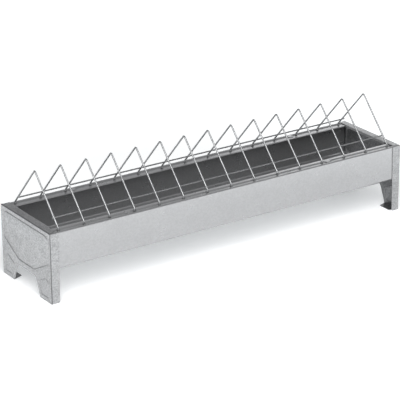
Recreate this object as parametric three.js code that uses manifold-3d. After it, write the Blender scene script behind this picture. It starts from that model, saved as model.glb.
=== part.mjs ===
// Galvanised sheet-steel trough feeder with a lift-off wire grid.
//
// Millimetres, +Z up. The origin is on the ground under the middle of the feeder.
// +X runs along the trough, -Y is the front long side and +Y is the back long side.
//
// A folded trough is closed by two stamped end caps, whose corners run down to the
// ground as legs. A grid of bent wires stands on the rims: the upright tail at each end
// of a wire drops into a hole in the rim's groove, and the grid lifts straight off.

import * as THREE from 'three';
import { mergeVertices } from 'three/addons/utils/BufferGeometryUtils.js';
import Module from 'manifold-3d';

// ---- Driving dimensions ----

const LENGTH = 750;
const WIDTH = 168;
const HEIGHT = 128;
const SHEET = 0.8;
const GAP = 0.3;

// Trough section
const RIM_TOP = HEIGHT - SHEET - 0.2;
const RIM_INNER_EDGE = 61;
const SIDE_BEND_Z = 63.5;
const FLOOR_Z = 36;
const FLOOR_HALF_WIDTH = 31.5;
const GROOVE_DEPTH = 1.8;
const GROOVE_INNER = 70.2;
const GROOVE_INNER_RUN = 1.8;
const GROOVE_OUTER = 75.5;
const GROOVE_OUTER_RUN = 3;
const HEM_DROP = 0.4;
const HEM_FOLD = 1.2;
const HEM_RETURN = 4.4;
const RIM_BEND_RADIUS = 1.5;
const SIDE_BEND_RADIUS = 4;
const BEND_STEPS = 4;

// Holes in the rims, one for each wire tail, and the small lanced tabs between them
const TAIL_Y = 72.5;
const HOLE_RADIUS = 3;
const HOLE_SIDES = 16;
const TAB_LENGTH = 9;
const TAB_INNER = 67.2;
const TAB_OUTER = 77.8;
const TAB_RISE = 0.7;
const BACK_TAB_X = 237;
const FRONT_TAB_X = 214;

// End caps
const TOP_FLANGE = 14;
const TOP_FLANGE_CORNER_CUT = 7;
const LIP_HALF_WIDTH = 57;
const LIP_RUN = 4;
const LIP_DROP = 2.2;
const LIP_BEND_RADIUS = 1.2;
const SIDE_FLANGE_TOP = 18;
const SIDE_FLANGE_FOOT = 15.5;
const SIDE_FLANGE_CORNER_RADIUS = 2.5;
const CORNER_SLIT = 0.6;
const LEG_GAP_TOP_Z = 34;
const LEG_GAP_TOP_HALF = 30;
const LEG_GAP_FOOT_HALF = 44;
const LEG_GAP_RADIUS = 6;
const FOOT_FLANGE = 18;
const FOOT_FLANGE_SIDE_GAP = 1;
const FOOT_FLANGE_INNER_CUT = 7;
const FOOT_FLANGE_OUTER_CUT = 4;

// Pressed beads on the end caps
const BEAD_WIDTH = 2.4;
const BEAD_DEPTH = 0.45;
const PANEL_HALF_WIDTH = 75.5;
const PANEL_TOP_Z = HEIGHT - 8.4;
const PANEL_SIDE_Z = HEIGHT - 57.5;
const PANEL_FLOOR_Z = HEIGHT - 83.5;
const PANEL_FLOOR_HALF = 26.5;
const PANEL_TOP_RADIUS = 11;
const PANEL_LOWER_RADIUS = 4;
const POCKET_OUTER_Y = 75;
const POCKET_INNER_TOP_Y = 41;
const POCKET_INNER_FOOT_Y = 49.5;
const POCKET_FOOT_Z = 8;
const POCKET_INNER_TOP_Z = 30;
const POCKET_OUTER_TOP_Z = 46;
const POCKET_RADIUS = 5;
const POCKET_OUTER_RADIUS = 10;

// Rivets joining the end caps to the trough walls
const RIVET_FROM_END = 12;
const RIVET_Z = 111.5;
const RIVET_SHANK_RADIUS = 1.6;
const RIVET_HEAD_RADIUS = 2.9;
const RIVET_HEAD_RISE = 0.9;
const RIVET_TAIL_RADIUS = 2.5;
const RIVET_TAIL_RISE = 0.8;
const RIVET_SIDES = 16;

// Wire grid
const WIRE_COUNT = 15;
const WIRE_END_MARGIN = 23;
const WIRE_RADIUS = 1.5;
const WIRE_SIDES = 10;
const APEX_Z = 210;
const APEX_RADIUS = 3.5;
const TAIL_BEND_Z = 130.8;
const TAIL_BEND_RADIUS = 3;
const TAIL_END_Z = 120.5;
const RAIL_RADIUS = 1.25;
const RAIL_SIDES = 12;
const RAIL_Z = 143;
const RAIL_OVERHANG = 2;

const WELD_TOLERANCE = 1e-4;
const CUT_MARGIN = 1;
const RIM_CUT_DEPTH = 5;

// ---- Materials ----

function zinc(color, roughness) {
  return new THREE.MeshStandardMaterial({ color, roughness, metalness: 0.9 });
}

const troughSteel = () => zinc(0xb9babd, 0.42);
const capSteel = () => zinc(0xbdbdc0, 0.48);
const rivetSteel = () => zinc(0xc6c7c9, 0.38);
const wireSteel = () => zinc(0xd4d6d8, 0.3);

// ---- Solids and cuts ----

const wasm = await Module();
wasm.setup();

function solidOf(geometry) {
  const bare = geometry.clone();
  bare.deleteAttribute('normal');
  bare.deleteAttribute('uv');
  const welded = mergeVertices(bare, WELD_TOLERANCE);
  return new wasm.Manifold(new wasm.Mesh({
    numProp: 3,
    vertProperties: new Float32Array(welded.attributes.position.array),
    triVerts: new Uint32Array(welded.index.array),
  }));
}

function geometryOf(solid) {
  const mesh = solid.getMesh();
  const geometry = new THREE.BufferGeometry();
  geometry.setAttribute('position', new THREE.BufferAttribute(mesh.vertProperties, mesh.numProp));
  geometry.setIndex(new THREE.BufferAttribute(mesh.triVerts, 1));
  geometry.computeVertexNormals();
  return geometry;
}

function box(low, high) {
  const size = high.map((value, i) => value - low[i]);
  const middle = high.map((value, i) => (value + low[i]) / 2);
  return new THREE.BoxGeometry(...size).translate(...middle);
}

// A shape drawn in (y, z), given thickness from x = start to x = end.
function prismAlongX(shape, start, end) {
  const geometry = new THREE.ExtrudeGeometry(shape, { depth: end - start, bevelEnabled: false });
  const axes = new THREE.Matrix4().makeBasis(
    new THREE.Vector3(0, 1, 0),
    new THREE.Vector3(0, 0, 1),
    new THREE.Vector3(1, 0, 0),
  );
  return geometry.applyMatrix4(axes).translate(start, 0, 0);
}

// A shape drawn in (x, y), given thickness from z = start to z = end.
function prismAlongZ(shape, start, end) {
  const geometry = new THREE.ExtrudeGeometry(shape, { depth: end - start, bevelEnabled: false });
  return geometry.translate(0, 0, start);
}

// A shape drawn in (x, z), given thickness from y = start to y = end.
function prismAlongY(shape, start, end) {
  const geometry = new THREE.ExtrudeGeometry(shape, { depth: end - start, bevelEnabled: false });
  return geometry.rotateX(Math.PI / 2).translate(0, end, 0);
}

// ---- Outlines ----

function shortestTurn(from, to) {
  return THREE.MathUtils.euclideanModulo(to - from + Math.PI, 2 * Math.PI) - Math.PI;
}

// Arc that replaces the corner between two straight runs, tangent to both.
function cornerArc(before, corner, after, radius) {
  const back = before.clone().sub(corner).normalize();
  const ahead = after.clone().sub(corner).normalize();
  const half = Math.acos(THREE.MathUtils.clamp(back.dot(ahead), -1, 1)) / 2;
  const centre = back.clone().add(ahead).setLength(radius / Math.sin(half)).add(corner);
  const start = back.multiplyScalar(radius / Math.tan(half)).add(corner);
  const end = ahead.multiplyScalar(radius / Math.tan(half)).add(corner);
  const from = start.sub(centre).angle();
  const turn = shortestTurn(from, end.sub(centre).angle());
  return Array.from({ length: BEND_STEPS + 1 }, (_, i) => {
    const angle = from + (turn * i) / BEND_STEPS;
    return new THREE.Vector2(Math.cos(angle), Math.sin(angle)).multiplyScalar(radius).add(centre);
  });
}

// Corners are [u, v] or [u, v, radius]. An open run keeps its two ends sharp.
function rounded(corners, closed) {
  const points = corners.map(([u, v]) => new THREE.Vector2(u, v));
  return corners.flatMap(([, , radius], i) => {
    const isEnd = !closed && (i === 0 || i === corners.length - 1);
    if (!radius || isEnd) return [points[i].clone()];
    const before = points.at(i - 1);
    const after = points[(i + 1) % points.length];
    return cornerArc(before, points[i], after, radius);
  });
}

// Moves each point sideways by a distance to the left of the run, with mitred corners.
function shifted(points, distance, closed) {
  const count = points.length;
  return points.map((point, i) => {
    const before = closed || i > 0 ? points.at(i - 1) : null;
    const after = closed || i < count - 1 ? points[(i + 1) % count] : null;
    const arrive = point.clone().sub(before ?? point).normalize();
    const leave = (after ?? point).clone().sub(point).normalize();
    const along = before && after ? arrive.clone().add(leave).normalize() : arrive.add(leave);
    const stretch = before && after ? Math.max(along.dot(leave), 0.2) : 1;
    return new THREE.Vector2(-along.y, along.x).multiplyScalar(distance / stretch).add(point);
  });
}

// Outline of a bent sheet of even thickness around its middle line.
function sheetShape(middleLine) {
  const left = shifted(middleLine, SHEET / 2, false);
  const right = shifted(middleLine, -SHEET / 2, false);
  return new THREE.Shape([...right, ...left.reverse()]);
}

// Narrow ring that follows a closed outline.
function beadShape(corners) {
  const outline = rounded(corners, true);
  const ring = new THREE.Shape(shifted(outline, -BEAD_WIDTH / 2, true));
  ring.holes.push(new THREE.Path(shifted(outline, BEAD_WIDTH / 2, true)));
  return ring;
}

function mirrored(corners) {
  return corners.map(([u, ...rest]) => [-u, ...rest]).reverse();
}

// ---- Wire layout ----

const wireSpan = LENGTH - 2 * WIRE_END_MARGIN;
const wirePitch = wireSpan / (WIRE_COUNT - 1);
const wirePositions = Array.from({ length: WIRE_COUNT }, (_, i) => i * wirePitch - wireSpan / 2);

// Direction from the apex down a back leg, in (y, z).
const legDirection = new THREE.Vector2(TAIL_Y, TAIL_BEND_Z - APEX_Z).normalize();

// ---- Trough ----

const wallOuter = WIDTH / 2 - SHEET - GAP;
const troughEnd = LENGTH / 2 - SHEET - GAP;

// Middle line of the sheet from the back hem down to the floor.
function backHalfSection() {
  const band = RIM_TOP - SHEET / 2;
  const groove = band - GROOVE_DEPTH;
  const hem = band - HEM_DROP;
  const edge = RIM_INNER_EDGE + SHEET / 2;
  const wall = wallOuter - SHEET / 2;
  const floor = FLOOR_Z + SHEET / 2;
  return [
    [edge + HEM_RETURN, hem - HEM_FOLD],
    [edge, hem - HEM_FOLD],
    [edge, hem],
    [GROOVE_INNER - GROOVE_INNER_RUN, hem],
    [GROOVE_INNER, groove],
    [GROOVE_OUTER, groove],
    [GROOVE_OUTER + GROOVE_OUTER_RUN, band],
    [wall, band, RIM_BEND_RADIUS],
    [wall, SIDE_BEND_Z, SIDE_BEND_RADIUS],
    [FLOOR_HALF_WIDTH, floor, SIDE_BEND_RADIUS],
  ];
}

function troughBlank() {
  const half = backHalfSection();
  const middleLine = rounded([...half, ...mirrored(half)], false);
  return solidOf(prismAlongX(sheetShape(middleLine), -troughEnd, troughEnd));
}

function tailHole(x, side) {
  const hole = new THREE.CylinderGeometry(HOLE_RADIUS, HOLE_RADIUS, 2 * RIM_CUT_DEPTH, HOLE_SIDES);
  return solidOf(hole.rotateX(Math.PI / 2).translate(x, side * TAIL_Y, RIM_TOP));
}

// Small raised tab that bridges the groove between two holes.
function lockTab(x, side) {
  const base = RIM_TOP - SHEET - GROOVE_DEPTH / 2;
  const half = TAB_LENGTH / 2;
  const tab = box([x - half, TAB_INNER, base], [x + half, TAB_OUTER, RIM_TOP + TAB_RISE]);
  if (side < 0) tab.rotateZ(Math.PI).translate(2 * x, 0, 0);
  return solidOf(tab);
}

function rivetHole(x, side) {
  const radius = RIVET_SHANK_RADIUS + GAP;
  const hole = new THREE.CylinderGeometry(radius, radius, 4 * CUT_MARGIN + SHEET, RIVET_SIDES);
  return solidOf(hole.translate(x, side * (WIDTH / 2 - SHEET), RIVET_Z));
}

const rivetX = LENGTH / 2 - RIVET_FROM_END;
const ends = [-1, 1];
const sides = [-1, 1];

function troughGeometry() {
  let trough = troughBlank();
  for (const side of sides) {
    const tabX = side > 0 ? BACK_TAB_X : FRONT_TAB_X;
    for (const end of ends) {
      trough = trough.add(lockTab(end * tabX, side));
      trough = trough.subtract(rivetHole(end * rivetX, side));
    }
    for (const x of wirePositions) {
      trough = trough.subtract(tailHole(x, side));
    }
  }
  return geometryOf(trough);
}

// ---- End cap, drawn for the +X end ----

const plateOuter = LENGTH / 2;
const plateInner = plateOuter - SHEET;

// Face plate: full width at the top, with the gap between the two legs cut out below.
function plateShape() {
  const half = WIDTH / 2;
  const shape = new THREE.Shape(rounded([
    [-half, 0],
    [-LEG_GAP_FOOT_HALF, 0],
    [-LEG_GAP_TOP_HALF, LEG_GAP_TOP_Z, LEG_GAP_RADIUS],
    [LEG_GAP_TOP_HALF, LEG_GAP_TOP_Z, LEG_GAP_RADIUS],
    [LEG_GAP_FOOT_HALF, 0],
    [half, 0],
    [half, HEIGHT],
    [-half, HEIGHT],
  ], true));
  return shape;
}

// Flat flange over the rims, with its ends cut back to clear the side flanges.
function topFlange() {
  const inner = plateOuter - TOP_FLANGE;
  const half = WIDTH / 2 - CORNER_SLIT;
  const shape = new THREE.Shape([
    new THREE.Vector2(inner, -half + TOP_FLANGE_CORNER_CUT),
    new THREE.Vector2(plateOuter, -half),
    new THREE.Vector2(plateOuter, half),
    new THREE.Vector2(inner, half - TOP_FLANGE_CORNER_CUT),
  ]);
  return solidOf(prismAlongZ(shape, HEIGHT - SHEET, HEIGHT));
}

// Lip that turns down from the top flange between the two rims.
function topLip() {
  const level = HEIGHT - SHEET / 2;
  const bend = plateOuter - TOP_FLANGE;
  const middleLine = rounded([
    [plateOuter - TOP_FLANGE / 2, level],
    [bend, level, LIP_BEND_RADIUS],
    [bend - LIP_RUN, level - LIP_DROP],
  ], false);
  return solidOf(prismAlongY(sheetShape(middleLine), -LIP_HALF_WIDTH, LIP_HALF_WIDTH));
}

function sideFlange(side) {
  const top = HEIGHT - SHEET - CORNER_SLIT;
  const shape = new THREE.Shape(rounded([
    [plateOuter - SIDE_FLANGE_FOOT, 0, SIDE_FLANGE_CORNER_RADIUS],
    [plateOuter, 0],
    [plateOuter, top],
    [plateOuter - SIDE_FLANGE_TOP, top],
  ], true));
  const outer = WIDTH / 2;
  const [start, end] = side > 0 ? [outer - SHEET, outer] : [-outer, SHEET - outer];
  return solidOf(prismAlongY(shape, start, end));
}

// Foot that turns in from the bottom of a leg, narrower towards its free edge.
function footFlange(side) {
  const inner = plateOuter - FOOT_FLANGE;
  const outer = WIDTH / 2 - SHEET - FOOT_FLANGE_SIDE_GAP;
  const shape = new THREE.Shape([
    new THREE.Vector2(plateOuter, side * LEG_GAP_FOOT_HALF),
    new THREE.Vector2(plateOuter, side * outer),
    new THREE.Vector2(inner, side * (outer - FOOT_FLANGE_OUTER_CUT)),
    new THREE.Vector2(inner, side * (LEG_GAP_FOOT_HALF + FOOT_FLANGE_INNER_CUT)),
  ]);
  return solidOf(prismAlongZ(shape, 0, SHEET));
}

// Main panel outline, which runs parallel to the trough's section inside it.
function panelOutline() {
  return [
    [-PANEL_FLOOR_HALF, PANEL_FLOOR_Z, PANEL_LOWER_RADIUS],
    [PANEL_FLOOR_HALF, PANEL_FLOOR_Z, PANEL_LOWER_RADIUS],
    [PANEL_HALF_WIDTH, PANEL_SIDE_Z, PANEL_LOWER_RADIUS],
    [PANEL_HALF_WIDTH, PANEL_TOP_Z, PANEL_TOP_RADIUS],
    [-PANEL_HALF_WIDTH, PANEL_TOP_Z, PANEL_TOP_RADIUS],
    [-PANEL_HALF_WIDTH, PANEL_SIDE_Z, PANEL_LOWER_RADIUS],
  ];
}

// Stiffening pocket on the back leg.
function pocketOutline() {
  return [
    [POCKET_INNER_FOOT_Y, POCKET_FOOT_Z, POCKET_RADIUS],
    [POCKET_OUTER_Y, POCKET_FOOT_Z, POCKET_RADIUS],
    [POCKET_OUTER_Y, POCKET_OUTER_TOP_Z, POCKET_OUTER_RADIUS],
    [POCKET_INNER_TOP_Y, POCKET_INNER_TOP_Z, POCKET_RADIUS],
  ];
}

// Each bead is a shallow channel outside and a matching ridge inside.
function pressBead(cap, corners) {
  const shape = beadShape(corners);
  const ridge = solidOf(prismAlongX(shape, plateInner - BEAD_DEPTH, plateInner + SHEET / 4));
  const channel = solidOf(prismAlongX(shape, plateOuter - BEAD_DEPTH, plateOuter + CUT_MARGIN));
  return cap.add(ridge).subtract(channel);
}

function endCapGeometry() {
  let cap = solidOf(prismAlongX(plateShape(), plateInner, plateOuter)).add(topFlange()).add(topLip());
  for (const side of sides) {
    cap = cap.add(sideFlange(side)).add(footFlange(side));
  }
  for (const outline of [panelOutline(), pocketOutline(), mirrored(pocketOutline())]) {
    cap = pressBead(cap, outline);
  }
  for (const side of sides) {
    cap = cap.subtract(rivetHole(rivetX, side));
  }
  return geometryOf(cap);
}

// ---- Rivet, turned about the Y axis, head towards +Y ----

function rivetGeometry() {
  const headSeat = WIDTH / 2 + GAP;
  const tailSeat = wallOuter - SHEET - GAP;
  const profile = [
    [0, tailSeat - RIVET_TAIL_RISE],
    [RIVET_TAIL_RADIUS * 0.8, tailSeat - RIVET_TAIL_RISE],
    [RIVET_TAIL_RADIUS, tailSeat - RIVET_TAIL_RISE / 2],
    [RIVET_TAIL_RADIUS, tailSeat],
    [RIVET_SHANK_RADIUS, tailSeat],
    [RIVET_SHANK_RADIUS, headSeat],
    [RIVET_HEAD_RADIUS, headSeat],
    [RIVET_HEAD_RADIUS * 0.8, headSeat + RIVET_HEAD_RISE * 0.7],
    [0, headSeat + RIVET_HEAD_RISE],
  ];
  return new THREE.LatheGeometry(profile.map(([r, y]) => new THREE.Vector2(r, y)), RIVET_SIDES);
}

// ---- Wires ----

// Stations round a bend: points on the arc, with the path's direction at each.
function bendStations(before, corner, after, radius) {
  const arrive = corner.clone().sub(before).angle();
  const leave = after.clone().sub(corner).angle();
  const turn = shortestTurn(arrive, leave);
  return cornerArc(before, corner, after, radius).map((point, i) => {
    const heading = arrive + (turn * i) / BEND_STEPS;
    return { point, tangent: new THREE.Vector2(Math.cos(heading), Math.sin(heading)) };
  });
}

// Middle line of a bent wire, in (y, z): tail, leg, apex, leg and tail.
function wireStations() {
  const corners = [
    [-TAIL_Y, TAIL_END_Z],
    [-TAIL_Y, TAIL_BEND_Z, TAIL_BEND_RADIUS],
    [0, APEX_Z, APEX_RADIUS],
    [TAIL_Y, TAIL_BEND_Z, TAIL_BEND_RADIUS],
    [TAIL_Y, TAIL_END_Z],
  ];
  const points = corners.map(([y, z]) => new THREE.Vector2(y, z));
  const bends = corners.slice(1, -1).flatMap(([, , radius], i) => (
    bendStations(points[i], points[i + 1], points[i + 2], radius)
  ));
  const start = { point: points[0], tangent: new THREE.Vector2(0, 1) };
  const end = { point: points.at(-1), tangent: new THREE.Vector2(0, -1) };
  return [start, ...bends, end];
}

// Curve through stations in the plane x = 0. Equal steps of its parameter go from
// station to station, so the straight stretches take no extra sections.
class StationPath extends THREE.Curve {
  constructor(stations) {
    super();
    this.stations = stations;
    this.steps = stations.length - 1;
  }

  getPointAt(u, target = new THREE.Vector3()) {
    const { point } = this.stations[Math.round(u * this.steps)];
    return target.set(0, point.x, point.y);
  }

  getTangentAt(u, target = new THREE.Vector3()) {
    const { tangent } = this.stations[Math.round(u * this.steps)];
    return target.set(0, tangent.x, tangent.y);
  }
}

function roundSection(radius, count) {
  return new THREE.Shape(Array.from({ length: count }, (_, i) => {
    const angle = (2 * Math.PI * (i + 0.5)) / count;
    return new THREE.Vector2(Math.cos(angle), Math.sin(angle)).multiplyScalar(radius);
  }));
}

function bentWireGeometry() {
  const path = new StationPath(wireStations());
  const wire = new THREE.ExtrudeGeometry(roundSection(WIRE_RADIUS, WIRE_SIDES), {
    steps: path.steps,
    extrudePath: path,
    bevelEnabled: false,
  });
  return wire.translate(0, 0, -RIM_TOP);
}

function railGeometry() {
  const length = wireSpan + 2 * RAIL_OVERHANG;
  return new THREE.CylinderGeometry(RAIL_RADIUS, RAIL_RADIUS, length, RAIL_SIDES).rotateZ(Math.PI / 2);
}

// The rails lie against the inner side of the legs, a hair clear of them.
function railOffset() {
  const clear = (WIRE_RADIUS + RAIL_RADIUS + GAP) / -legDirection.y;
  return (legDirection.x / -legDirection.y) * (APEX_Z - RAIL_Z) - clear;
}

// ---- Assembly ----

function part(name, geometry, material) {
  const mesh = new THREE.Mesh(geometry, material);
  mesh.name = name;
  return mesh;
}

function endNames(end) {
  return end < 0 ? 'left' : 'right';
}

function sideNames(side) {
  return side < 0 ? 'front' : 'back';
}

function troughGroup() {
  const group = new THREE.Group();
  group.add(part('trough_body', troughGeometry(), troughSteel()));
  const capGeometry = endCapGeometry();
  const rivet = rivetGeometry();
  for (const end of ends) {
    const cap = part(`end_cap_${endNames(end)}`, capGeometry, capSteel());
    cap.rotation.z = end < 0 ? Math.PI : 0;
    group.add(cap);
    for (const side of sides) {
      const piece = part(`rivet_${sideNames(side)}_${endNames(end)}`, rivet, rivetSteel());
      piece.rotation.z = side < 0 ? Math.PI : 0;
      piece.position.set(end * rivetX, 0, RIVET_Z);
      group.add(piece);
    }
  }
  return group;
}

function gridGroup() {
  const group = new THREE.Group();
  group.position.z = RIM_TOP;
  const bentWire = bentWireGeometry();
  wirePositions.forEach((x, i) => {
    const wire = part(`grid_wire_${String(i + 1).padStart(2, '0')}`, bentWire, wireSteel());
    wire.position.x = x;
    group.add(wire);
  });
  const rail = railGeometry();
  for (const side of sides) {
    const piece = part(`grid_rail_${sideNames(side)}`, rail, wireSteel());
    piece.position.set(0, side * railOffset(), RAIL_Z - RIM_TOP);
    group.add(piece);
  }
  return group;
}

const feeder = new THREE.Group();
feeder.add(troughGroup(), gridGroup());

export default feeder;
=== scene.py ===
"""Galvanised trough feeder with a lift-off wire grid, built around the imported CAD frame.

Metres, +Z up, origin on the ground under the middle of the feeder. +X runs along the
trough and +Y points to its back long side.
"""

import math

import bmesh
import bpy
from mathutils import Matrix, Vector, geometry


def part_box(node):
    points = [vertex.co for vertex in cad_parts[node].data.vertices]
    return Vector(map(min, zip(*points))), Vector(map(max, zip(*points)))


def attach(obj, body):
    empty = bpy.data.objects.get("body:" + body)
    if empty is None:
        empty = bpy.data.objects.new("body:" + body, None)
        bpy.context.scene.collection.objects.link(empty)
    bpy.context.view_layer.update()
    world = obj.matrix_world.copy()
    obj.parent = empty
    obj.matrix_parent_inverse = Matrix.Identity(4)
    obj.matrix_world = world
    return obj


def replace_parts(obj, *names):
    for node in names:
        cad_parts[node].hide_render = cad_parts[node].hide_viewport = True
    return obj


MM = 0.001

# Sheet metal
SHEET = 0.8 * MM
PLATE_BEND = 1.4 * MM
BEND_STEPS = 6
SMOOTH_ANGLE = math.radians(38)
MERGE_DISTANCE = 0.01 * MM
CUT_MARGIN = 1 * MM

# Trough section, measured from the CAD trough's box
RIM_WIDTH = 21.9 * MM
SIDE_BEND_Z = 63.5 * MM
FLOOR_HALF_WIDTH = 31.5 * MM
GROOVE_DEPTH = 1.8 * MM
GROOVE_FALL_START = 68.4 * MM
GROOVE_INNER = 70.2 * MM
GROOVE_OUTER = 75.5 * MM
GROOVE_RISE_END = 78.5 * MM
GROOVE_RADIUS = 0.6 * MM
HEM_DROP = 0.4 * MM
HEM_FOLD = 1.3 * MM
HEM_RETURN = 4.4 * MM
HEM_ROUND_RADIUS = HEM_FOLD / 2 - MERGE_DISTANCE
RIM_BEND_RADIUS = 1.6 * MM
SIDE_BEND_RADIUS = 4 * MM

# Holes for the wire tails, and lock tabs, in the rims
TAIL_Y = 72.5 * MM
HOLE_RADIUS = 3 * MM
HOLE_SIDES = 24
HOLE_CUT = 6 * MM
TAB_LENGTH = 9 * MM
TAB_INNER = 67.2 * MM
TAB_OUTER = 77.8 * MM
TAB_RISE = 0.7 * MM
TAB_SLOPE = 1 * MM
TAB_TOP_RADIUS = 0.5 * MM
BACK_TAB_X = 237 * MM
FRONT_TAB_X = 214 * MM

# End caps
TOP_FLANGE = 14 * MM
TOP_FLANGE_CORNER_CUT = 7 * MM
LIP_HALF_WIDTH = 57 * MM
LIP_RUN = 4 * MM
LIP_DROP = 2.2 * MM
LIP_BEND_RADIUS = 1.2 * MM
SIDE_FLANGE_TOP = 18 * MM
SIDE_FLANGE_FOOT = 15.5 * MM
SIDE_FLANGE_CORNER_RADIUS = 2.5 * MM
FOOT_FLANGE = 18 * MM
FOOT_FLANGE_SIDE_GAP = 1.8 * MM
FOOT_FLANGE_INNER_CUT = 7 * MM
FOOT_FLANGE_OUTER_CUT = 4 * MM
LEG_GAP_TOP_Z = 34 * MM
LEG_GAP_TOP_HALF = 30 * MM
LEG_GAP_FOOT_HALF = 44 * MM
LEG_GAP_RADIUS = 6 * MM

# Material slots of an end cap: faces, folds, inner faces, inner side of the folds; the folds and the
# inner faces carry painted shade
FOLD_SLOT = 1
INNER_SLOT = 2
TRIANGLE_TOLERANCE = 1e-7

# Pressed beads; the panel's levels are measured down from the cap's top
BEAD_WIDTH = 2.6 * MM
PANEL_BEAD_DEPTH = 1.1 * MM
POCKET_BEAD_DEPTH = 0.9 * MM
BEAD_STEPS = 6
PANEL_HALF_WIDTH = 75.5 * MM
PANEL_TOP_DROP = 8.4 * MM
PANEL_SIDE_DROP = 57.5 * MM
PANEL_FLOOR_DROP = 83.5 * MM
PANEL_FLOOR_HALF = 26.5 * MM
PANEL_TOP_RADIUS = 11 * MM
PANEL_LOWER_RADIUS = 4 * MM
POCKET_OUTER_Y = 75 * MM
POCKET_INNER_TOP_Y = 41 * MM
POCKET_INNER_FOOT_Y = 49.5 * MM
POCKET_FOOT_Z = 8 * MM
POCKET_INNER_TOP_Z = 30 * MM
POCKET_OUTER_TOP_Z = 46 * MM
POCKET_RADIUS = 5 * MM
POCKET_OUTER_RADIUS = 10 * MM

# Rivets
RIVET_SHANK_RADIUS = 1.6 * MM
RIVET_HEAD_RADIUS = 2.9 * MM
RIVET_HEAD_RISE = 0.5 * MM
RIVET_TAIL_RADIUS = 2.5 * MM
RIVET_TAIL_RISE = 0.8 * MM
RIVET_BORE_RADIUS = 1.1 * MM
RIVET_BORE_END = 0.3 * MM
RIVET_SIDES = 32
DOME_STEPS = 6

# Wire grid
WIRE_RADIUS = 1.5 * MM
APEX_Z = 210 * MM
APEX_RADIUS = 3.5 * MM
TAIL_BEND_Z = 130.8 * MM
TAIL_BEND_RADIUS = 3 * MM
TAIL_END_Z = 120.5 * MM
WIRE_BEND_STEPS = 12
RAIL_NODES = ("grid_rail_front", "grid_rail_back")
RAIL_RADIUS = 1.25 * MM
RAIL_PRESS = 0.45 * MM
TUBE_SIDES = 20
TUBE_CHAMFER = 0.3 * MM

# Spot welds where the rails cross the legs
WELD_RADIUS = 1.7 * MM
WELD_SEGMENTS = 12
WELD_RINGS = 8

# Zinc tones, each from dark to light
TROUGH_TONES = (0.43, 0.432, 0.438), (0.47, 0.473, 0.48)
CAP_TONES = (0.34, 0.343, 0.348), (0.5, 0.503, 0.51)
# Fold tones are painted shade: the dark lines that the caps' bends show
FOLD_SHADE_TONES = (0.16, 0.162, 0.165), (0.25, 0.252, 0.255)
# Cap inner tones are painted shade: the inside of the caps lies in shadow
CAP_INNER_SHADE_TONES = (0.2, 0.202, 0.206), (0.28, 0.283, 0.288)
RIVET_TONES = (0.4, 0.402, 0.406), (0.5, 0.503, 0.508)
WIRE_TONES = (0.28, 0.283, 0.287), (0.4, 0.404, 0.409)
TONE_START = 0.25
TONE_END = 0.75

# Roughness of each zinc, at its dark and at its light tone
TROUGH_ROUGHNESS = (0.37, 0.25)
CAP_ROUGHNESS = (0.47, 0.35)
FOLD_ROUGHNESS = (0.57, 0.45)
CAP_INNER_ROUGHNESS = (0.52, 0.4)
RIVET_ROUGHNESS = (0.5, 0.42)
WIRE_ROUGHNESS = (0.44, 0.36)

# Bare metal is 1; less stands for a dull skin of zinc oxide
TROUGH_METALLIC = 0.88
CAP_METALLIC = 0.97

# Zinc texture; the scales are in features per metre
TROUGH_CRYSTALS = 420
CAP_CRYSTALS = 520
CAP_INNER_CRYSTALS = 330
FOLD_CRYSTALS = 900
CLOUD_SCALE = 28
CLOUD_SHARE = 0.45
CLOUD_DETAIL = 4
SHEET_GRAIN_DETAIL = 3
SHEET_GRAIN_SCALE = 900
SHEET_GRAIN_STRENGTH = 0.12
SHEET_GRAIN_HEIGHT = 0.2 * MM
RIVET_MOTTLING_SCALE = 600
RIVET_MOTTLING_DETAIL = 3
WIRE_MOTTLING_SCALE = 260
WIRE_MOTTLING_DETAIL = 4
WIRE_MOTTLING_ROUGHNESS = 0.6
WIRE_GRAIN_SCALE = 1500
WIRE_GRAIN_DETAIL = 2
WIRE_GRAIN_STRENGTH = 0.08
WIRE_GRAIN_HEIGHT = 0.1 * MM

# Stage
FLOOR_HALF_SIZE = 12
FLOOR_TONE = (0.8, 0.8, 0.8, 1)
FLOOR_ROUGHNESS = 0.9
FLOOR_GLOW_TINT = (0.95, 0.985, 1, 1)
FLOOR_GLOW = 0.32
FLOOR_GLOW_FAR = 1
GLOW_START = 0.48
GLOW_END = 1.2
KEY_PLACE = (-1.3, -2.4, 2.7)
KEY_TARGET = (0, 0, 0)
KEY_SIZE = (3, 3)
KEY_POWER = 165
SIDE_PLACE = (2.2, 2.0, 1.1)
SIDE_TARGET = (0.3, 0, 0.1)
SIDE_SIZE = (1.2, 0.9)
SIDE_POWER = 3.5
WORLD_SWEEP = (0.6, 0.605, 0.615)
WORLD_SWEEP_TOP = 0.3
WORLD_DARK = (0.24, 0.242, 0.246)
WORLD_DARK_START = 0.6
CAMERA_PLACE = (-1.86013, -2.71568, 1.38589)
CAMERA_AZIMUTH = math.radians(-34.163)
CAMERA_ELEVATION = math.radians(21.693)
CAMERA_ROLL = math.radians(-0.302)
CAMERA_LENS = 177.6
CAMERA_SENSOR = 36
CAMERA_CLIP = (0.1, 50)


# ---- Materials ----


def new_material(name):
    material = bpy.data.materials.new(name)
    material.use_nodes = True
    nodes = material.node_tree.nodes
    links = material.node_tree.links
    shader = nodes["Principled BSDF"]
    return material, nodes, links, shader


def object_coordinates(nodes):
    return nodes.new("ShaderNodeTexCoord").outputs["Object"]


def noise(nodes, links, vector, scale, detail, roughness=0.5):
    node = nodes.new("ShaderNodeTexNoise")
    node.inputs["Scale"].default_value = scale
    node.inputs["Detail"].default_value = detail
    node.inputs["Roughness"].default_value = roughness
    links.new(vector, node.inputs["Vector"])
    return node.outputs["Fac"]


def crystals(nodes, links, vector, scale):
    node = nodes.new("ShaderNodeTexVoronoi")
    node.inputs["Scale"].default_value = scale
    links.new(vector, node.inputs["Vector"])
    split = nodes.new("ShaderNodeSeparateColor")
    links.new(node.outputs["Color"], split.inputs["Color"])
    return split.outputs["Red"]


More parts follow.
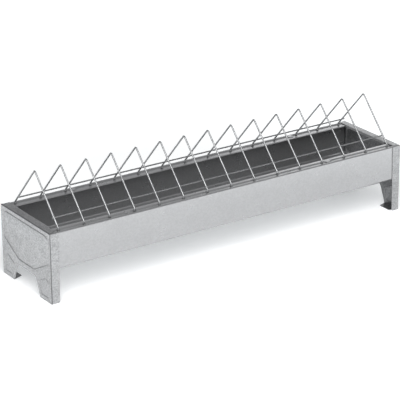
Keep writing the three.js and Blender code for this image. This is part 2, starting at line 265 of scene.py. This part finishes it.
def to_range(nodes, links, value, limits):
    """Stretches a value from 0 to 1 over two limits."""
    node = nodes.new("ShaderNodeMapRange")
    node.inputs["To Min"].default_value = limits[0]
    node.inputs["To Max"].default_value = limits[1]
    links.new(value, node.inputs["Value"])
    return node.outputs["Result"]


def blended(nodes, links, first, second, share):
    node = nodes.new("ShaderNodeMix")
    node.inputs["Factor"].default_value = share
    links.new(first, node.inputs["A"])
    links.new(second, node.inputs["B"])
    return node.outputs["Result"]


def ramp(nodes, links, value, places, tones):
    """Colour that goes from the first tone to the second between two places of a value."""
    node = nodes.new("ShaderNodeValToRGB")
    for element, place, tone in zip(node.color_ramp.elements, places, tones):
        element.position = place
        element.color = (*tone, 1)
    links.new(value, node.inputs["Fac"])
    return node.outputs["Color"]


def tint(nodes, links, shader, value, tones):
    """Base colour of a metal, between its dark and light tones."""
    color = ramp(nodes, links, value, (TONE_START, TONE_END), tones)
    links.new(color, shader.inputs["Base Color"])


def bump(nodes, links, shader, height, strength, distance):
    node = nodes.new("ShaderNodeBump")
    node.inputs["Strength"].default_value = strength
    node.inputs["Distance"].default_value = distance
    links.new(height, node.inputs["Height"])
    links.new(node.outputs["Normal"], shader.inputs["Normal"])


def galvanised(name, tones, crystal_scale, roughness, metallic=1):
    """Zinc-coated sheet: small crystals of slightly different grey, with soft clouds over them."""
    material, nodes, links, shader = new_material(name)
    vector = object_coordinates(nodes)
    spangle = crystals(nodes, links, vector, crystal_scale)
    clouds = noise(nodes, links, vector, CLOUD_SCALE, CLOUD_DETAIL)
    tone = blended(nodes, links, spangle, clouds, CLOUD_SHARE)
    tint(nodes, links, shader, tone, tones)
    shader.inputs["Metallic"].default_value = metallic
    links.new(to_range(nodes, links, tone, roughness), shader.inputs["Roughness"])
    grain = noise(nodes, links, vector, SHEET_GRAIN_SCALE, SHEET_GRAIN_DETAIL)
    bump(nodes, links, shader, grain, SHEET_GRAIN_STRENGTH, SHEET_GRAIN_HEIGHT)
    return material


def trough_material():
    return galvanised("galvanised_trough", TROUGH_TONES, TROUGH_CRYSTALS, TROUGH_ROUGHNESS,
                      TROUGH_METALLIC)


def cap_material():
    return galvanised("galvanised_cap", CAP_TONES, CAP_CRYSTALS, CAP_ROUGHNESS, CAP_METALLIC)


def fold_shade_material():
    """Darker, rougher zinc on the caps' sharp bends; the dark tone is painted shade along the bends."""
    return galvanised("galvanised_fold_painted_shade", FOLD_SHADE_TONES, FOLD_CRYSTALS, FOLD_ROUGHNESS)


def cap_inner_shade_material():
    """The caps' inner faces: a darker tone, painted shade for the shadowed inside of the caps, and
    rougher than the outer ones.
    """
    return galvanised("galvanised_cap_inside_painted_shade", CAP_INNER_SHADE_TONES, CAP_INNER_CRYSTALS,
                      CAP_INNER_ROUGHNESS)


def rivet_material():
    """Plain zinc plate with a fine mottling."""
    material, nodes, links, shader = new_material("zinc_rivet")
    vector = object_coordinates(nodes)
    mottling = noise(nodes, links, vector, RIVET_MOTTLING_SCALE, RIVET_MOTTLING_DETAIL)
    tint(nodes, links, shader, mottling, RIVET_TONES)
    shader.inputs["Metallic"].default_value = 1
    links.new(to_range(nodes, links, mottling, RIVET_ROUGHNESS), shader.inputs["Roughness"])
    return material


def wire_material():
    """Zinc-coated wire with soft mottling and a fine grain."""
    material, nodes, links, shader = new_material("zinc_wire")
    vector = object_coordinates(nodes)
    mottling = noise(nodes, links, vector, WIRE_MOTTLING_SCALE, WIRE_MOTTLING_DETAIL,
                     WIRE_MOTTLING_ROUGHNESS)
    tint(nodes, links, shader, mottling, WIRE_TONES)
    shader.inputs["Metallic"].default_value = 1
    links.new(to_range(nodes, links, mottling, WIRE_ROUGHNESS), shader.inputs["Roughness"])
    grain = noise(nodes, links, vector, WIRE_GRAIN_SCALE, WIRE_GRAIN_DETAIL)
    bump(nodes, links, shader, grain, WIRE_GRAIN_STRENGTH, WIRE_GRAIN_HEIGHT)
    return material


def floor_material():
    """White table with a soft glow of its own, stronger away from the feeder, so shadows stay pale."""
    material, nodes, links, shader = new_material("pale_floor")
    vector = object_coordinates(nodes)
    reach = nodes.new("ShaderNodeVectorMath")
    reach.operation = "LENGTH"
    links.new(vector, reach.inputs["Vector"])
    glow = nodes.new("ShaderNodeMapRange")
    glow.inputs["From Min"].default_value = GLOW_START
    glow.inputs["From Max"].default_value = GLOW_END
    glow.inputs["To Min"].default_value = FLOOR_GLOW
    glow.inputs["To Max"].default_value = FLOOR_GLOW_FAR
    links.new(reach.outputs["Value"], glow.inputs["Value"])
    links.new(glow.outputs["Result"], shader.inputs["Emission Strength"])
    shader.inputs["Base Color"].default_value = FLOOR_TONE
    shader.inputs["Roughness"].default_value = FLOOR_ROUGHNESS
    shader.inputs["Emission Color"].default_value = FLOOR_GLOW_TINT
    return material


# ---- Meshes ----


def mesh_object(name, mesh, material):
    obj = bpy.data.objects.new(name, mesh)
    bpy.context.scene.collection.objects.link(obj)
    mesh.materials.append(material)
    return obj


def object_from_bmesh(name, bm, material):
    bmesh.ops.recalc_face_normals(bm, faces=bm.faces)
    mesh = bpy.data.meshes.new(name)
    bm.to_mesh(mesh)
    bm.free()
    shade_by_angle(mesh)
    return mesh_object(name, mesh, material)


def shade_by_angle(mesh):
    mesh.polygons.foreach_set("use_smooth", [True] * len(mesh.polygons))
    mesh.set_sharp_from_angle(angle=SMOOTH_ANGLE)


def add_prism(bm, outline, place, start, end):
    """Closed prism over an outline of (u, v) points; place(u, v, w) gives each corner."""
    loops = [[bm.verts.new(place(u, v, w)) for u, v in outline] for w in (start, end)]
    bm.faces.new(loops[0])
    bm.faces.new(loops[1][::-1])
    count = len(outline)
    for i in range(count):
        j = (i + 1) % count
        bm.faces.new([loops[0][i], loops[1][i], loops[1][j], loops[0][j]])


def bake_modifiers(obj):
    graph = bpy.context.evaluated_depsgraph_get()
    mesh = bpy.data.meshes.new_from_object(obj.evaluated_get(graph))
    obj.modifiers.clear()
    obj.data = mesh
    shade_by_angle(mesh)


def cut_away(obj, cutter):
    """Takes the cutter's volume out of obj for good."""
    modifier = obj.modifiers.new("cut", "BOOLEAN")
    modifier.operation = "DIFFERENCE"
    modifier.solver = "MANIFOLD"
    modifier.object = cutter
    bake_modifiers(obj)
    bpy.data.objects.remove(cutter)


# ---- Outlines ----


def corner_arc(before, corner, after, radius, steps):
    """Points of the arc that is tangent to both runs at a corner."""
    back = (before - corner).normalized()
    ahead = (after - corner).normalized()
    half = back.angle(ahead) / 2
    centre = corner + (back + ahead).normalized() * (radius / math.sin(half))
    start = corner + back * (radius / math.tan(half)) - centre
    end = corner + ahead * (radius / math.tan(half)) - centre
    first = math.atan2(start.y, start.x)
    turn = math.atan2(start.cross(end), start.dot(end))
    angles = [first + turn * i / steps for i in range(steps + 1)]
    return [centre + Vector((math.cos(a), math.sin(a))) * radius for a in angles]


def rounded(corners, closed, steps=BEND_STEPS):
    """Points of a run whose corners are (u, v) or (u, v, radius)."""
    points = [Vector(c[:2]) for c in corners]
    run = []
    for i, corner in enumerate(corners):
        is_end = not closed and i in (0, len(corners) - 1)
        if len(corner) < 3 or is_end:
            run.append(points[i])
            continue
        after = points[(i + 1) % len(points)]
        run.extend(corner_arc(points[i - 1], points[i], after, corner[2], steps))
    return run


def shifted(points, distance, closed):
    """The run moved sideways to its left by a distance, with mitred corners."""
    count = len(points)
    moved = []
    for i, point in enumerate(points):
        steps = []
        if closed or i > 0:
            steps.append((point - points[i - 1]).normalized())
        if closed or i < count - 1:
            steps.append((points[(i + 1) % count] - point).normalized())
        along = sum(steps, Vector((0, 0))).normalized()
        stretch = along.dot(steps[0])
        moved.append(point + Vector((-along.y, along.x)) * (distance / stretch))
    return moved


def mirrored(corners):
    return [(-c[0], *c[1:]) for c in corners][::-1]


# ---- Trough ----


def half_section(top, wall_outer):
    """Middle line of the sheet from the back hem down to the floor, in (y, z)."""
    band = top - SHEET / 2
    groove = band - GROOVE_DEPTH
    hem = band - HEM_DROP
    wall = wall_outer - SHEET / 2
    edge = wall_outer - RIM_WIDTH + SHEET / 2
    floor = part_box("trough_body")[0].z + SHEET / 2
    return [
        (edge + HEM_RETURN, hem - HEM_FOLD),
        (edge, hem - HEM_FOLD, HEM_ROUND_RADIUS),
        (edge, hem, HEM_ROUND_RADIUS),
        (GROOVE_FALL_START, hem, GROOVE_RADIUS),
        (GROOVE_INNER, groove, GROOVE_RADIUS),
        (GROOVE_OUTER, groove, GROOVE_RADIUS),
        (GROOVE_RISE_END, band, GROOVE_RADIUS),
        (wall, band, RIM_BEND_RADIUS),
        (wall, SIDE_BEND_Z, SIDE_BEND_RADIUS),
        (FLOOR_HALF_WIDTH, floor, SIDE_BEND_RADIUS),
    ]


def hole_cutters(wire_positions, top, material):
    turns = [2 * math.pi * i / HOLE_SIDES for i in range(HOLE_SIDES)]
    outline = [(HOLE_RADIUS * math.cos(a), HOLE_RADIUS * math.sin(a)) for a in turns]
    bm = bmesh.new()
    for y in (-TAIL_Y, TAIL_Y):
        for x in wire_positions:
            add_prism(bm, outline, lambda u, v, w, x=x, y=y: (x + u, y + v, w),
                      top - HOLE_CUT, top + CUT_MARGIN)
    return object_from_bmesh("hole_cutters", bm, material)


def build_trough(wire_positions, material):
    low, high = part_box("trough_body")
    top = high.z - TAB_RISE
    half = half_section(top, high.y)
    middle = rounded([*half, *mirrored(half)], closed=False)
    right = shifted(middle, -SHEET / 2, closed=False)
    left = shifted(middle, SHEET / 2, closed=False)
    bm = bmesh.new()
    add_prism(bm, [*right, *left[::-1]], lambda u, v, w: (w, u, v), low.x, high.x)
    trough = object_from_bmesh("trough_sheet", bm, material)
    cut_away(trough, hole_cutters(wire_positions, top, material))
    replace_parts(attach(trough, "trough"), "trough_body")
    return trough


def build_lock_tabs(material):
    """Small lanced tabs that stand a little above the rims and bridge the groove."""
    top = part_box("trough_body")[1].z
    base = top - TAB_RISE - GROOVE_DEPTH
    shoulder = top - TAB_RISE - HEM_DROP
    section = [
        (TAB_INNER, base),
        (TAB_OUTER, base),
        (TAB_OUTER, shoulder),
        (TAB_OUTER - TAB_SLOPE, top, TAB_TOP_RADIUS),
        (TAB_INNER + TAB_SLOPE, top, TAB_TOP_RADIUS),
        (TAB_INNER, shoulder),
    ]
    bm = bmesh.new()
    for side, x in ((1, BACK_TAB_X), (-1, FRONT_TAB_X)):
        for end in (-1, 1):
            start = end * x - TAB_LENGTH / 2
            add_prism(bm, rounded(section, closed=True),
                      lambda u, v, w, side=side: (w, side * u, v), start, start + TAB_LENGTH)
    tabs = object_from_bmesh("lock_tabs", bm, material)
    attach(tabs, "trough")
    return tabs


# ---- End caps, built for the +X end and turned for the other ----


def leg_gap_corners():
    return [
        (-LEG_GAP_FOOT_HALF, 0),
        (-LEG_GAP_TOP_HALF, LEG_GAP_TOP_Z, LEG_GAP_RADIUS),
        (LEG_GAP_TOP_HALF, LEG_GAP_TOP_Z, LEG_GAP_RADIUS),
        (LEG_GAP_FOOT_HALF, 0),
    ]


def panel_outline(height):
    top = height - PANEL_TOP_DROP
    side = height - PANEL_SIDE_DROP
    floor = height - PANEL_FLOOR_DROP
    return [
        (-PANEL_FLOOR_HALF, floor, PANEL_LOWER_RADIUS),
        (PANEL_FLOOR_HALF, floor, PANEL_LOWER_RADIUS),
        (PANEL_HALF_WIDTH, side, PANEL_LOWER_RADIUS),
        (PANEL_HALF_WIDTH, top, PANEL_TOP_RADIUS),
        (-PANEL_HALF_WIDTH, top, PANEL_TOP_RADIUS),
        (-PANEL_HALF_WIDTH, side, PANEL_LOWER_RADIUS),
    ]


def pocket_outline():
    return [
        (POCKET_INNER_FOOT_Y, POCKET_FOOT_Z, POCKET_RADIUS),
        (POCKET_OUTER_Y, POCKET_FOOT_Z, POCKET_RADIUS),
        (POCKET_OUTER_Y, POCKET_OUTER_TOP_Z, POCKET_OUTER_RADIUS),
        (POCKET_INNER_TOP_Y, POCKET_INNER_TOP_Z, POCKET_RADIUS),
    ]


def bead_loops(corners, full_depth):
    """(outline, depth) pairs across a pressed bead, from its outer edge to its inner edge."""
    middle = rounded(corners, closed=True)
    loops = []
    for i in range(BEAD_STEPS + 1):
        share = i / BEAD_STEPS
        depth = full_depth * (1 - math.cos(2 * math.pi * share)) / 2
        loops.append((shifted(middle, BEAD_WIDTH * (share - 0.5), closed=True), depth))
    return loops


def fill_flat(bm, outer, holes, place):
    """Triangles over a flat region with holes. Returns the verts of each boundary loop."""
    loops = [outer, *holes]
    points = [point for loop in loops for point in loop]
    edges = []
    start = 0
    for loop in loops:
        count = len(loop)
        edges += [(start + i, start + (i + 1) % count) for i in range(count)]
        start += count
    found = geometry.delaunay_2d_cdt(points, edges, [], 0, TRIANGLE_TOLERANCE)
    flat_points, triangles = found[0], found[2]
    verts = [bm.verts.new(place(p.x, p.y, 0)) for p in flat_points]
    for triangle in triangles:
        centre = sum((flat_points[i] for i in triangle), Vector((0, 0))) / 3
        if inside(centre, outer) and not any(inside(centre, hole) for hole in holes):
            bm.faces.new([verts[i] for i in triangle])
    return verts


def inside(point, loop):
    hits = False
    for a, b in zip(loop, [*loop[1:], loop[0]]):
        crosses = (a.y > point.y) != (b.y > point.y)
        if crosses and point.x < a.x + (b.x - a.x) * (point.y - a.y) / (b.y - a.y):
            hits = not hits
    return hits


def add_strip(bm, rows, closed, slot=0):
    """Quads between neighbouring rows of points."""
    verts = [[bm.verts.new(point) for point in row] for row in rows]
    for first, second in zip(verts, verts[1:]):
        count = len(first)
        for i in range(count if closed else count - 1):
            j = (i + 1) % count
            bm.faces.new([first[i], first[j], second[j], second[i]]).material_index = slot


def plate_place(plate_x):
    return lambda u, v, depth: (plate_x - depth, u, v)


def add_plate(bm, plate_x, half_width, height):
    flat_half = half_width - PLATE_BEND
    flat_top = height - PLATE_BEND
    corners = [
        (-flat_half, 0),
        *leg_gap_corners(),
        (flat_half, 0),
        (flat_half, flat_top),
        (-flat_half, flat_top),
    ]
    outer = rounded(corners, closed=True)
    place = plate_place(plate_x)
    beads = [bead_loops(panel_outline(height), PANEL_BEAD_DEPTH)]
    for outline in (pocket_outline(), mirrored(pocket_outline())):
        beads.append(bead_loops(outline, POCKET_BEAD_DEPTH))
    fill_flat(bm, outer, [bead[0][0] for bead in beads], place)
    for bead in beads:
        add_strip(bm, [[place(p.x, p.y, depth) for p in loop] for loop, depth in bead], closed=True)
        fill_flat(bm, bead[-1][0], [], place)


def bend_rows(points_at):
    """Rows of points round a quarter bend; points_at(across, along) places one row."""
    rows = []
    for i in range(BEND_STEPS + 1):
        angle = math.pi / 2 * i / BEND_STEPS
        rows.append(points_at(PLATE_BEND * math.sin(angle), PLATE_BEND * (1 - math.cos(angle))))
    return rows


def add_side_flange(bm, side, plate_x, half_width, height):
    """Bend and flange along one upright edge of the plate, round at its foot corner."""
    base = half_width - PLATE_BEND
    radius = SIDE_FLANGE_CORNER_RADIUS
    edge = []
    for i in range(BEND_STEPS + 1):
        angle = math.pi / 2 * i / BEND_STEPS
        width = SIDE_FLANGE_FOOT - radius * (1 - math.sin(angle))
        edge.append((radius * (1 - math.cos(angle)), width))
    edge.append((height - PLATE_BEND, SIDE_FLANGE_TOP))

    def bend(across, along):
        return [(plate_x - along, side * (base + across), z) for z, _ in edge]

    rows = bend_rows(bend)
    free_edge = [(plate_x - width, side * half_width, z) for z, width in edge]
    # The bend faces take the fold material, whose dark tone is painted shade
    add_strip(bm, rows, closed=False, slot=FOLD_SLOT)
    add_strip(bm, [rows[-1], free_edge], closed=False)


def add_top_flange(bm, plate_x, half_width, height):
    """Bend and flange along the top edge, with a lip turned down between the rims."""
    ends = half_width - PLATE_BEND
    tip = ends - TOP_FLANGE_CORNER_CUT

    def bend(across, along):
        level = height - PLATE_BEND + across
        return [(plate_x - along, y, level) for y in (-ends, -LIP_HALF_WIDTH, LIP_HALF_WIDTH, ends)]

    rows = bend_rows(bend)
    lip = rounded([
        (plate_x - PLATE_BEND, height),
        (plate_x - TOP_FLANGE, height, LIP_BEND_RADIUS),
        (plate_x - TOP_FLANGE - LIP_RUN, height - LIP_DROP),
    ], closed=False)
    inner = [(lip[1].x, y, height) for y in (-tip, -LIP_HALF_WIDTH, LIP_HALF_WIDTH, tip)]
    lip_rows = [[(p.x, y, p.y) for y in (-LIP_HALF_WIDTH, LIP_HALF_WIDTH)] for p in lip[1:]]
    # The bend faces take the fold material, whose dark tone is painted shade
    add_strip(bm, rows, closed=False, slot=FOLD_SLOT)
    add_strip(bm, [rows[-1], inner], closed=False)
    add_strip(bm, lip_rows, closed=False)


def add_foot_flange(bm, side, plate_x, half_width):
    """The plate's lower edge turned in to stand on the ground, narrower at its free edge."""
    start = LEG_GAP_FOOT_HALF
    end = half_width - FOOT_FLANGE_SIDE_GAP
    free_start = start + FOOT_FLANGE_INNER_CUT
    free_end = end - FOOT_FLANGE_OUTER_CUT
    rows = [[(plate_x, side * y, SHEET) for y in (start, end)],
            [(plate_x, side * y, 0) for y in (start, end)],
            [(plate_x - FOOT_FLANGE, side * y, 0) for y in (free_start, free_end)]]
    add_strip(bm, rows, closed=False)


def thicken(obj):
    """Gives a bent surface the sheet's thickness, on the side away from its normals."""
    modifier = obj.modifiers.new("sheet", "SOLIDIFY")
    modifier.thickness = SHEET
    modifier.offset = -1
    modifier.use_even_offset = True
    modifier.use_quality_normals = True
    # The inner side takes the shifted slots, whose darker materials are painted shade
    modifier.material_offset = INNER_SLOT
    bake_modifiers(obj)


def build_end_cap(end, face, fold_shade, inner_shade_face):
    side_name = "left" if end < 0 else "right"
    node = f"end_cap_{side_name}"
    low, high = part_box(node)
    plate_x = max(abs(low.x), abs(high.x))
    bm = bmesh.new()
    add_plate(bm, plate_x, high.y, high.z)
    add_top_flange(bm, plate_x, high.y, high.z)
    for side in (-1, 1):
        add_side_flange(bm, side, plate_x, high.y, high.z)
        add_foot_flange(bm, side, plate_x, high.y)
    bmesh.ops.remove_doubles(bm, verts=bm.verts, dist=MERGE_DISTANCE)
    cap = object_from_bmesh(f"pressed_cap_{side_name}", bm, face)
    # Slots 1 to 3: folds, inner faces and inner side of the folds, all with painted shade
    for material in (fold_shade, inner_shade_face, fold_shade):
        cap.data.materials.append(material)
    cap.rotation_euler.z = math.pi if end < 0 else 0
    thicken(cap)
    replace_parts(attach(cap, "trough"), node)
    return cap


# ---- Rivets ----


def dome(radius, seat, rise):
    """Profile points (radius, along) from a head's rim to its crown."""
    points = []
    for i in range(DOME_STEPS + 1):
        angle = math.pi / 2 * i / DOME_STEPS
        points.append((radius * math.cos(angle), seat + rise * math.sin(angle)))
    return points


def rolled_tail(seat):
    """Profile of a tubular rivet's rolled end, from its bore out to its rim."""
    middle = (RIVET_TAIL_RADIUS + RIVET_BORE_RADIUS) / 2
    half_width = (RIVET_TAIL_RADIUS - RIVET_BORE_RADIUS) / 2
    points = []
    for i in range(2 * DOME_STEPS + 1):
        angle = math.pi * (1 - i / (2 * DOME_STEPS))
        points.append((middle + half_width * math.cos(angle), seat - RIVET_TAIL_RISE * math.sin(angle)))
    return points


def rivet_profile(head_seat, tail_seat):
    bore_end = head_seat - RIVET_BORE_END
    bore = [(0, bore_end), (RIVET_BORE_RADIUS, bore_end)]
    shank = [(RIVET_SHANK_RADIUS, tail_seat), (RIVET_SHANK_RADIUS, head_seat)]
    head = dome(RIVET_HEAD_RADIUS, head_seat, RIVET_HEAD_RISE)
    return [*bore, *rolled_tail(tail_seat), *shank, *head]


def build_rivet(node, material):
    low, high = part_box(node)
    side = -1 if high.y < 0 else 1
    centre = (low + high) / 2
    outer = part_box("end_cap_left")[1].y
    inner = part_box("trough_body")[1].y - SHEET
    bm = bmesh.new()
    profile = rivet_profile(outer, inner)
    axis_points = {0, len(profile) - 1}
    rows = []
    for i, (radius, along) in enumerate(profile):
        count = 1 if i in axis_points else RIVET_SIDES
        rows.append([bm.verts.new(turned(centre, radius, side * along, j, count)) for j in range(count)])
    for first, second in zip(rows, rows[1:]):
        join_rows(bm, first, second)
    rivet = object_from_bmesh(f"domed_{node}", bm, material)
    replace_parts(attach(rivet, "trough"), node)
    return rivet


def turned(centre, radius, along, index, count):
    """One of count points round a rivet's axis, or the point on the axis itself."""
    angle = 2 * math.pi * index / count
    if count == 1:
        radius = 0
    return (centre.x + radius * math.cos(angle), along, centre.z + radius * math.sin(angle))


def join_rows(bm, first, second):
    """Faces between two rings of points, either of which may be a single point."""
    count = max(len(first), len(second))
    for i in range(count):
        j = (i + 1) % count
        corners = [first[i % len(first)], first[j % len(first)],
                   second[j % len(second)], second[i % len(second)]]
        bm.faces.new(list(dict.fromkeys(corners)))


# ---- Wires ----


def add_tube(bm, path, radii, cross):
    """Round wire along a path, with a radius at each point. cross is square to the whole path."""
    rows = []
    last = len(path) - 1
    for i, point in enumerate(path):
        ahead = path[min(i + 1, last)] - path[max(i - 1, 0)]
        out = cross.cross(ahead).normalized()
        rows.append([
            bm.verts.new(point + (cross * math.cos(a) + out * math.sin(a)) * radii[i])
            for a in (2 * math.pi * k / TUBE_SIDES for k in range(TUBE_SIDES))
        ])
    for first, second in zip(rows, rows[1:]):
        join_rows(bm, first, second)
    bm.faces.new(rows[0])
    bm.faces.new(rows[-1][::-1])


def chamfered(path, radius):
    """Adds a short chamfer at both ends. Returns the path and the radius at each point."""
    start = (path[1] - path[0]).normalized() * TUBE_CHAMFER
    end = (path[-2] - path[-1]).normalized() * TUBE_CHAMFER
    points = [path[0], path[0] + start, *path[1:-1], path[-1] + end, path[-1]]
    radii = [radius] * len(points)
    radii[0] = radii[-1] = radius - TUBE_CHAMFER
    return points, radii


def leg_direction():
    """Direction from the bend at the top down a back leg, in (y, z)."""
    return Vector((TAIL_Y, TAIL_BEND_Z - APEX_Z)).normalized()


def bent_wire_path(x):
    corners = [
        (-TAIL_Y, TAIL_END_Z),
        (-TAIL_Y, TAIL_BEND_Z, TAIL_BEND_RADIUS),
        (0, APEX_Z, APEX_RADIUS),
        (TAIL_Y, TAIL_BEND_Z, TAIL_BEND_RADIUS),
        (TAIL_Y, TAIL_END_Z),
    ]
    return [Vector((x, p.x, p.y)) for p in rounded(corners, closed=False, steps=WIRE_BEND_STEPS)]


def build_bent_wire(node, material):
    bm = bmesh.new()
    points, radii = chamfered(bent_wire_path(middle_x(node)), WIRE_RADIUS)
    add_tube(bm, points, radii, Vector((1, 0, 0)))
    number = node.rsplit("_", 1)[1]
    wire = object_from_bmesh(f"bent_wire_{number}", bm, material)
    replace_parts(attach(wire, "grid"), node)
    return wire


def build_rail(node, material):
    """Straight wire pressed a little into the legs by its spot welds."""
    low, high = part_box(node)
    centre = (low + high) / 2
    side = -1 if centre.y < 0 else 1
    down = leg_direction()
    outward = Vector((0, side * -down.y, down.x)) * RAIL_PRESS
    ends = [Vector((x, centre.y, centre.z)) + outward for x in (low.x, high.x)]
    bm = bmesh.new()
    points, radii = chamfered(ends, RAIL_RADIUS)
    add_tube(bm, points, radii, Vector((0, 0, 1)))
    rail = object_from_bmesh(f"long_wire_{node.rsplit('_', 1)[1]}", bm, material)
    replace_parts(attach(rail, "grid"), node)
    return rail


def build_welds(wire_positions, material):
    """Small nuggets in the corner between each leg and the rail that crosses it."""
    down = leg_direction()
    bm = bmesh.new()
    for node in RAIL_NODES:
        low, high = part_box(node)
        centre = (low + high) / 2
        side = -1 if centre.y < 0 else 1
        place = centre + Vector((0, side * -down.y, down.x)) * RAIL_RADIUS
        for x in wire_positions:
            spot = Matrix.Translation((x, place.y, place.z))
            bmesh.ops.create_uvsphere(bm, u_segments=WELD_SEGMENTS, v_segments=WELD_RINGS,
                                      radius=WELD_RADIUS, matrix=spot)
    welds = object_from_bmesh("spot_welds", bm, material)
    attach(welds, "grid")
    return welds


# ---- Stage ----


def build_floor():
    bm = bmesh.new()
    bmesh.ops.create_grid(bm, x_segments=1, y_segments=1, size=FLOOR_HALF_SIZE)
    floor = object_from_bmesh("floor", bm, floor_material())


def area_light(name, place, target, size, power):
    light = bpy.data.lights.new(name, "AREA")
    light.shape = "RECTANGLE"
    light.size, light.size_y = size
    light.energy = power
    obj = bpy.data.objects.new(name, light)
    bpy.context.scene.collection.objects.link(obj)
    obj.location = place
    obj.rotation_euler = (Vector(target) - Vector(place)).to_track_quat("-Z", "Y").to_euler()


def build_world():
    """Studio surroundings: a pale sweep low down, darker above it."""
    world = bpy.data.worlds.new("studio")
    bpy.context.scene.world = world
    world.use_nodes = True
    nodes = world.node_tree.nodes
    links = world.node_tree.links
    coordinates = nodes.new("ShaderNodeTexCoord")
    split = nodes.new("ShaderNodeSeparateXYZ")
    links.new(coordinates.outputs["Generated"], split.inputs["Vector"])
    places = (WORLD_SWEEP_TOP, WORLD_DARK_START)
    color = ramp(nodes, links, split.outputs["Z"], places, (WORLD_SWEEP, WORLD_DARK))
    links.new(color, nodes["Background"].inputs["Color"])


def build_lights():
    area_light("key", KEY_PLACE, KEY_TARGET, KEY_SIZE, KEY_POWER)
    area_light("side", SIDE_PLACE, SIDE_TARGET, SIDE_SIZE, SIDE_POWER)


def build_camera():
    data = bpy.data.cameras.new("camera")
    data.lens = CAMERA_LENS
    data.sensor_width = CAMERA_SENSOR
    data.clip_start, data.clip_end = CAMERA_CLIP
    camera = bpy.data.objects.new("camera", data)
    bpy.context.scene.collection.objects.link(camera)
    a, e = CAMERA_AZIMUTH, CAMERA_ELEVATION
    back = Vector((math.sin(a) * math.cos(e), -math.cos(a) * math.cos(e), math.sin(e)))
    right = Vector((0, 0, 1)).cross(back).normalized()
    up = back.cross(right)
    level = Matrix((right, up, back)).transposed().to_4x4()
    camera.matrix_world = Matrix.Translation(CAMERA_PLACE) @ level @ Matrix.Rotation(CAMERA_ROLL, 4, "Z")
    bpy.context.scene.camera = camera


def middle_x(node):
    low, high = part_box(node)
    return (low.x + high.x) / 2


def build_feeder(node_names):
    wire_names = [name for name in node_names if name.startswith("grid_wire_")]
    wire_positions = [middle_x(name) for name in wire_names]
    sheet = trough_material()
    build_trough(wire_positions, sheet)
    build_lock_tabs(sheet)
    cap_steel = cap_material()
    fold_shade_steel = fold_shade_material()
    cap_inner_shade_steel = cap_inner_shade_material()
    for end in (-1, 1):
        build_end_cap(end, cap_steel, fold_shade_steel, cap_inner_shade_steel)
    rivet_steel = rivet_material()
    for name in node_names:
        if name.startswith("rivet_"):
            build_rivet(name, rivet_steel)
    wire_steel = wire_material()
    for name in wire_names:
        build_bent_wire(name, wire_steel)
    for name in RAIL_NODES:
        build_rail(name, wire_steel)
    build_welds(wire_positions, wire_steel)


def build_stage():
    build_floor()
    build_world()
    build_lights()
    build_camera()
    bpy.context.scene.view_settings.view_transform = "Standard"


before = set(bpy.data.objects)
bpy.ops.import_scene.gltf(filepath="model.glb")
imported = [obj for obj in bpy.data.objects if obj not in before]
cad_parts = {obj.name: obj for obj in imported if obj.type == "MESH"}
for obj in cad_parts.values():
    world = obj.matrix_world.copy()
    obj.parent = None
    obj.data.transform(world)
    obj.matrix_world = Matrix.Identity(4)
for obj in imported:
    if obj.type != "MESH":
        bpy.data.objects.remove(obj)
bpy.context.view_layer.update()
build_feeder(sorted(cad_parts))
build_stage()
